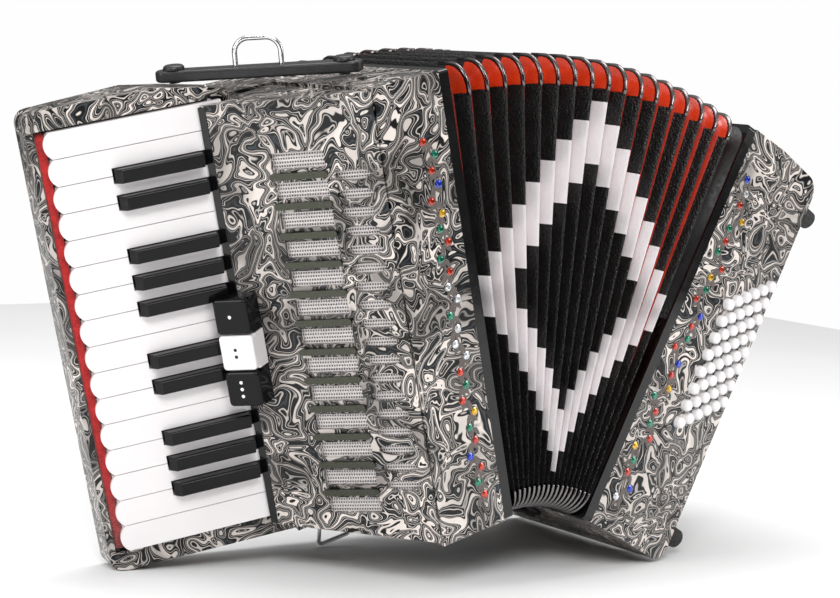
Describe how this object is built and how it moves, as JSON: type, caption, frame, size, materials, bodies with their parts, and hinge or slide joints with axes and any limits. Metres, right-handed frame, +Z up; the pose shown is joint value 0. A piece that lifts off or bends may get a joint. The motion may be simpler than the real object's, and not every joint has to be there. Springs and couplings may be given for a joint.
{
  "type": "piano accordion",
  "caption": "Upright piano accordion with a keyboard on one side, bass buttons on the other and pleated bellows fanned open between them.",
  "frame": {"origin": "centre of the object's box in plan, on the surface it stands on", "axes": "+Z up; +X from the keyboard side to the bass side; -Y is the side that faces the audience"},
  "size_m": [0.6254, 0.185, 0.3819],
  "materials": {
    "ivory_celluloid": "glossy cream-white celluloid over wood",
    "black_celluloid": "glossy black",
    "button_white": "glossy white",
    "bellows_card": "black leatherette tape over folded card",
    "marbled_celluloid": "black, grey and cream marbled celluloid over thin wood, glossy",
    "black_lacquer": "gloss black lacquer over wood",
    "silver_mesh": "woven silver mesh",
    "grille_bar_metal": "dark olive grey metallic",
    "chrome": "polished",
    "black_plastic": "satin black",
    "reed_block_wood": "bare wood with reed plates",
    "rubber": "matt black",
    "black_leather": "black leather"
  },
  "bodies": {
    "treble": {"treble_casing": "marbled_celluloid", "treble_bellows_frame": "black_lacquer", "grille_cover": "marbled_celluloid", "grille_mesh": "silver_mesh", "grille_bars": "grille_bar_metal", "key_axle": "chrome", "treble_reed_blocks": "reed_block_wood", "shoulder_strap_bar": "black_plastic", "shoulder_strap_bar_screws": "chrome", "upper_strap_ring": "chrome", "lower_ring_lug": "chrome"},
    "bass": {"bass_bellows_frame": "black_lacquer", "bass_casing": "marbled_celluloid", "bass_feet": "rubber", "hand_strap": "black_leather", "bass_reed_blocks": "reed_block_wood", "bottom_bellows_strap": "black_leather"},
    "fold_pack_1": {"bellows_fold_pack_1": "bellows_card"},
    "fold_pack_2": {"bellows_fold_pack_2": "bellows_card"},
    "fold_pack_3": {"bellows_fold_pack_3": "bellows_card"},
    "fold_pack_4": {"bellows_fold_pack_4": "bellows_card"},
    "fold_pack_5": {"bellows_fold_pack_5": "bellows_card"},
    "key_white_01_b": {"white_key_01_b": "ivory_celluloid"},
    "key_white_02_c": {"white_key_02_c": "ivory_celluloid"},
    "key_white_03_d": {"white_key_03_d": "ivory_celluloid"},
    "key_white_04_e": {"white_key_04_e": "ivory_celluloid"},
    "key_white_05_f": {"white_key_05_f": "ivory_celluloid"},
    "key_white_06_g": {"white_key_06_g": "ivory_celluloid"},
    "key_white_07_a": {"white_key_07_a": "ivory_celluloid"},
    "key_white_08_b": {"white_key_08_b": "ivory_celluloid"},
    "key_white_09_c": {"white_key_09_c": "ivory_celluloid"},
    "key_white_10_d": {"white_key_10_d": "ivory_celluloid"},
    "key_white_11_e": {"white_key_11_e": "ivory_celluloid"},
    "key_white_12_f": {"white_key_12_f": "ivory_celluloid"},
    "key_white_13_g": {"white_key_13_g": "ivory_celluloid"},
    "key_white_14_a": {"white_key_14_a": "ivory_celluloid"},
    "key_white_15_b": {"white_key_15_b": "ivory_celluloid"},
    "key_white_16_c": {"white_key_16_c": "ivory_celluloid"},
    "key_black_02_c_sharp": {"black_key_02_c_sharp": "black_celluloid"},
    "key_black_03_d_sharp": {"black_key_03_d_sharp": "black_celluloid"},
    "key_black_05_f_sharp": {"black_key_05_f_sharp": "black_celluloid"},
    "key_black_06_g_sharp": {"black_key_06_g_sharp": "black_celluloid"},
    "key_black_07_a_sharp": {"black_key_07_a_sharp": "black_celluloid"},
    "key_black_09_c_sharp": {"black_key_09_c_sharp": "black_celluloid"},
    "key_black_10_d_sharp": {"black_key_10_d_sharp": "black_celluloid"},
    "key_black_12_f_sharp": {"black_key_12_f_sharp": "black_celluloid"},
    "key_black_13_g_sharp": {"black_key_13_g_sharp": "black_celluloid"},
    "key_black_14_a_sharp": {"black_key_14_a_sharp": "black_celluloid"},
    "switch_1": {"register_switch_1": "black_celluloid"},
    "switch_2": {"register_switch_2": "ivory_celluloid"},
    "switch_3": {"register_switch_3": "black_celluloid"},
    "button_row_1": {"bass_button_row_1": "button_white"},
    "button_row_2": {"bass_button_row_2": "button_white"},
    "button_row_3": {"bass_button_row_3": "button_white"},
    "button_row_4": {"bass_button_row_4": "button_white"},
    "button_row_5": {"bass_button_row_5": "button_white"},
    "button_row_6": {"bass_button_row_6": "button_white"},
    "air_valve": {"air_button": "button_white"},
    "strap_adjuster": {"hand_strap_wheel": "black_plastic"},
    "lower_ring": {"lower_strap_ring": "chrome"}
  },
  "joints": [
    {"name": "bass_fan", "type": "hinge", "parent": "treble", "child": "bass", "pos_m": [0.03638, 0.00246, 0.05314], "axis": [0, 1, 0], "range_deg": [-40.8, 12]},
    {"name": "fold_pack_1_fan", "type": "hinge", "parent": "treble", "child": "fold_pack_1", "pos_m": [0.03638, 0.00246, 0.05314], "axis": [0, 1, 0], "range_deg": [-6.81, 2.01]},
    {"name": "fold_pack_2_fan", "type": "hinge", "parent": "treble", "child": "fold_pack_2", "pos_m": [0.03638, 0.00246, 0.05314], "axis": [0, 1, 0], "range_deg": [-13.61, 4.01]},
    {"name": "fold_pack_3_fan", "type": "hinge", "parent": "treble", "child": "fold_pack_3", "pos_m": [0.03638, 0.00246, 0.05314], "axis": [0, 1, 0], "range_deg": [-20.41, 6.01]},
    {"name": "fold_pack_4_fan", "type": "hinge", "parent": "treble", "child": "fold_pack_4", "pos_m": [0.03638, 0.00246, 0.05314], "axis": [0, 1, 0], "range_deg": [-27.21, 8.01]},
    {"name": "fold_pack_5_fan", "type": "hinge", "parent": "treble", "child": "fold_pack_5", "pos_m": [0.03638, 0.00246, 0.05314], "axis": [0, 1, 0], "range_deg": [-34.01, 10.01]},
    {"name": "white_key_01_b_press", "type": "hinge", "parent": "treble", "child": "key_white_01_b", "pos_m": [-0.19184, 0.02902, 0.32623], "axis": [0.2492, 0, -0.9685], "range_deg": [0, 2.3], "stiffness_Nm_per_rad": 6, "springref_deg": -3.44},
    {"name": "white_key_02_c_press", "type": "hinge", "parent": "treble", "child": "key_white_02_c", "pos_m": [-0.18713, 0.02902, 0.30792], "axis": [0.2492, 0, -0.9685], "range_deg": [0, 2.3], "stiffness_Nm_per_rad": 6, "springref_deg": -3.44},
    {"name": "white_key_03_d_press", "type": "hinge", "parent": "treble", "child": "key_white_03_d", "pos_m": [-0.18242, 0.02902, 0.28962], "axis": [0.2492, 0, -0.9685], "range_deg": [0, 2.3], "stiffness_Nm_per_rad": 6, "springref_deg": -3.44},
    {"name": "white_key_04_e_press", "type": "hinge", "parent": "treble", "child": "key_white_04_e", "pos_m": [-0.17771, 0.02902, 0.27132], "axis": [0.2492, 0, -0.9685], "range_deg": [0, 2.3], "stiffness_Nm_per_rad": 6, "springref_deg": -3.44},
    {"name": "white_key_05_f_press", "type": "hinge", "parent": "treble", "child": "key_white_05_f", "pos_m": [-0.173, 0.02902, 0.25301], "axis": [0.2492, 0, -0.9685], "range_deg": [0, 2.3], "stiffness_Nm_per_rad": 6, "springref_deg": -3.44},
    {"name": "white_key_06_g_press", "type": "hinge", "parent": "treble", "child": "key_white_06_g", "pos_m": [-0.1683, 0.02902, 0.23471], "axis": [0.2492, 0, -0.9685], "range_deg": [0, 2.3], "stiffness_Nm_per_rad": 6, "springref_deg": -3.44},
    {"name": "white_key_07_a_press", "type": "hinge", "parent": "treble", "child": "key_white_07_a", "pos_m": [-0.16359, 0.02902, 0.2164], "axis": [0.2492, 0, -0.9685], "range_deg": [0, 2.3], "stiffness_Nm_per_rad": 6, "springref_deg": -3.44},
    {"name": "white_key_08_b_press", "type": "hinge", "parent": "treble", "child": "key_white_08_b", "pos_m": [-0.15888, 0.02902, 0.1981], "axis": [0.2492, 0, -0.9685], "range_deg": [0, 2.3], "stiffness_Nm_per_rad": 6, "springref_deg": -3.44},
    {"name": "white_key_09_c_press", "type": "hinge", "parent": "treble", "child": "key_white_09_c", "pos_m": [-0.15417, 0.02902, 0.1798], "axis": [0.2492, 0, -0.9685], "range_deg": [0, 2.3], "stiffness_Nm_per_rad": 6, "springref_deg": -3.44},
    {"name": "white_key_10_d_press", "type": "hinge", "parent": "treble", "child": "key_white_10_d", "pos_m": [-0.14946, 0.02902, 0.16149], "axis": [0.2492, 0, -0.9685], "range_deg": [0, 2.3], "stiffness_Nm_per_rad": 6, "springref_deg": -3.44},
    {"name": "white_key_11_e_press", "type": "hinge", "parent": "treble", "child": "key_white_11_e", "pos_m": [-0.14475, 0.02902, 0.14319], "axis": [0.2492, 0, -0.9685], "range_deg": [0, 2.3], "stiffness_Nm_per_rad": 6, "springref_deg": -3.44},
    {"name": "white_key_12_f_press", "type": "hinge", "parent": "treble", "child": "key_white_12_f", "pos_m": [-0.14004, 0.02902, 0.12488], "axis": [0.2492, 0, -0.9685], "range_deg": [0, 2.3], "stiffness_Nm_per_rad": 6, "springref_deg": -3.44},
    {"name": "white_key_13_g_press", "type": "hinge", "parent": "treble", "child": "key_white_13_g", "pos_m": [-0.13533, 0.02902, 0.10658], "axis": [0.2492, 0, -0.9685], "range_deg": [0, 2.3], "stiffness_Nm_per_rad": 6, "springref_deg": -3.44},
    {"name": "white_key_14_a_press", "type": "hinge", "parent": "treble", "child": "key_white_14_a", "pos_m": [-0.13062, 0.02902, 0.08828], "axis": [0.2492, 0, -0.9685], "range_deg": [0, 2.3], "stiffness_Nm_per_rad": 6, "springref_deg": -3.44},
    {"name": "white_key_15_b_press", "type": "hinge", "parent": "treble", "child": "key_white_15_b", "pos_m": [-0.12591, 0.02902, 0.06997], "axis": [0.2492, 0, -0.9685], "range_deg": [0, 2.3], "stiffness_Nm_per_rad": 6, "springref_deg": -3.44},
    {"name": "white_key_16_c_press", "type": "hinge", "parent": "treble", "child": "key_white_16_c", "pos_m": [-0.1212, 0.02902, 0.05167], "axis": [0.2492, 0, -0.9685], "range_deg": [0, 2.3], "stiffness_Nm_per_rad": 6, "springref_deg": -3.44},
    {"name": "black_key_02_c_sharp_press", "type": "hinge", "parent": "treble", "child": "key_black_02_c_sharp", "pos_m": [-0.18478, 0.02902, 0.29877], "axis": [0.2492, 0, -0.9685], "range_deg": [0, 2.3], "stiffness_Nm_per_rad": 6, "springref_deg": -3.44},
    {"name": "black_key_03_d_sharp_press", "type": "hinge", "parent": "treble", "child": "key_black_03_d_sharp", "pos_m": [-0.18007, 0.02902, 0.28047], "axis": [0.2492, 0, -0.9685], "range_deg": [0, 2.3], "stiffness_Nm_per_rad": 6, "springref_deg": -3.44},
    {"name": "black_key_05_f_sharp_press", "type": "hinge", "parent": "treble", "child": "key_black_05_f_sharp", "pos_m": [-0.17065, 0.02902, 0.24386], "axis": [0.2492, 0, -0.9685], "range_deg": [0, 2.3], "stiffness_Nm_per_rad": 6, "springref_deg": -3.44},
    {"name": "black_key_06_g_sharp_press", "type": "hinge", "parent": "treble", "child": "key_black_06_g_sharp", "pos_m": [-0.16594, 0.02902, 0.22556], "axis": [0.2492, 0, -0.9685], "range_deg": [0, 2.3], "stiffness_Nm_per_rad": 6, "springref_deg": -3.44},
    {"name": "black_key_07_a_sharp_press", "type": "hinge", "parent": "treble", "child": "key_black_07_a_sharp", "pos_m": [-0.16123, 0.02902, 0.20725], "axis": [0.2492, 0, -0.9685], "range_deg": [0, 2.3], "stiffness_Nm_per_rad": 6, "springref_deg": -3.44},
    {"name": "black_key_09_c_sharp_press", "type": "hinge", "parent": "treble", "child": "key_black_09_c_sharp", "pos_m": [-0.15181, 0.02902, 0.17064], "axis": [0.2492, 0, -0.9685], "range_deg": [0, 2.3], "stiffness_Nm_per_rad": 6, "springref_deg": -3.44},
    {"name": "black_key_10_d_sharp_press", "type": "hinge", "parent": "treble", "child": "key_black_10_d_sharp", "pos_m": [-0.14711, 0.02902, 0.15234], "axis": [0.2492, 0, -0.9685], "range_deg": [0, 2.3], "stiffness_Nm_per_rad": 6, "springref_deg": -3.44},
    {"name": "black_key_12_f_sharp_press", "type": "hinge", "parent": "treble", "child": "key_black_12_f_sharp", "pos_m": [-0.13769, 0.02902, 0.11573], "axis": [0.2492, 0, -0.9685], "range_deg": [0, 2.3], "stiffness_Nm_per_rad": 6, "springref_deg": -3.44},
    {"name": "black_key_13_g_sharp_press", "type": "hinge", "parent": "treble", "child": "key_black_13_g_sharp", "pos_m": [-0.13298, 0.02902, 0.09743], "axis": [0.2492, 0, -0.9685], "range_deg": [0, 2.3], "stiffness_Nm_per_rad": 6, "springref_deg": -3.44},
    {"name": "black_key_14_a_sharp_press", "type": "hinge", "parent": "treble", "child": "key_black_14_a_sharp", "pos_m": [-0.12827, 0.02902, 0.07913], "axis": [0.2492, 0, -0.9685], "range_deg": [0, 2.3], "stiffness_Nm_per_rad": 6, "springref_deg": -3.44},
    {"name": "register_switch_1_press", "type": "slide", "parent": "treble", "child": "switch_1", "axis": [0.8241, 0.5253, 0.212], "range_m": [0, 0.002], "stiffness_N_per_m": 300, "springref_m": -0.003},
    {"name": "register_switch_2_press", "type": "slide", "parent": "treble", "child": "switch_2", "axis": [0.8241, 0.5253, 0.212], "range_m": [0, 0.002], "stiffness_N_per_m": 300, "springref_m": -0.003},
    {"name": "register_switch_3_press", "type": "slide", "parent": "treble", "child": "switch_3", "axis": [0.8241, 0.5253, 0.212], "range_m": [0, 0.002], "stiffness_N_per_m": 300, "springref_m": -0.003},
    {"name": "bass_button_row_1_press", "type": "slide", "parent": "bass", "child": "button_row_1", "axis": [-0.1669, 0.9825, 0.0828], "range_m": [0, 0.004], "stiffness_N_per_m": 300, "springref_m": -0.003},
    {"name": "bass_button_row_2_press", "type": "slide", "parent": "bass", "child": "button_row_2", "axis": [-0.1669, 0.9825, 0.0828], "range_m": [0, 0.004], "stiffness_N_per_m": 300, "springref_m": -0.003},
    {"name": "bass_button_row_3_press", "type": "slide", "parent": "bass", "child": "button_row_3", "axis": [-0.1669, 0.9825, 0.0828], "range_m": [0, 0.004], "stiffness_N_per_m": 300, "springref_m": -0.003},
    {"name": "bass_button_row_4_press", "type": "slide", "parent": "bass", "child": "button_row_4", "axis": [-0.1669, 0.9825, 0.0828], "range_m": [0, 0.004], "stiffness_N_per_m": 300, "springref_m": -0.003},
    {"name": "bass_button_row_5_press", "type": "slide", "parent": "bass", "child": "button_row_5", "axis": [-0.1669, 0.9825, 0.0828], "range_m": [0, 0.004], "stiffness_N_per_m": 300, "springref_m": -0.003},
    {"name": "bass_button_row_6_press", "type": "slide", "parent": "bass", "child": "button_row_6", "axis": [-0.1669, 0.9825, 0.0828], "range_m": [0, 0.004], "stiffness_N_per_m": 300, "springref_m": -0.003},
    {"name": "air_button_press", "type": "slide", "parent": "bass", "child": "air_valve", "axis": [-0.8959, 0, 0.4442], "range_m": [0, 0.0015], "stiffness_N_per_m": 200, "springref_m": -0.003},
    {"name": "hand_strap_wheel_turn", "type": "hinge", "parent": "bass", "child": "strap_adjuster", "pos_m": [0.29258, 0.03246, 0.29566], "axis": [0.4442, 0, 0.8959], "continuous": true},
    {"name": "lower_ring_swing", "type": "hinge", "parent": "treble", "child": "lower_ring", "pos_m": [-0.04722, 0.07046, 0.02966], "axis": [0.9685, 0, 0.2492], "range_deg": [-60, 20]}
  ],
  "couplings": [
    {"joint": "fold_pack_1_fan", "follows": "bass_fan", "ratio": 0.16667},
    {"joint": "fold_pack_2_fan", "follows": "bass_fan", "ratio": 0.33333},
    {"joint": "fold_pack_3_fan", "follows": "bass_fan", "ratio": 0.5},
    {"joint": "fold_pack_4_fan", "follows": "bass_fan", "ratio": 0.66667},
    {"joint": "fold_pack_5_fan", "follows": "bass_fan", "ratio": 0.83333}
  ]
}
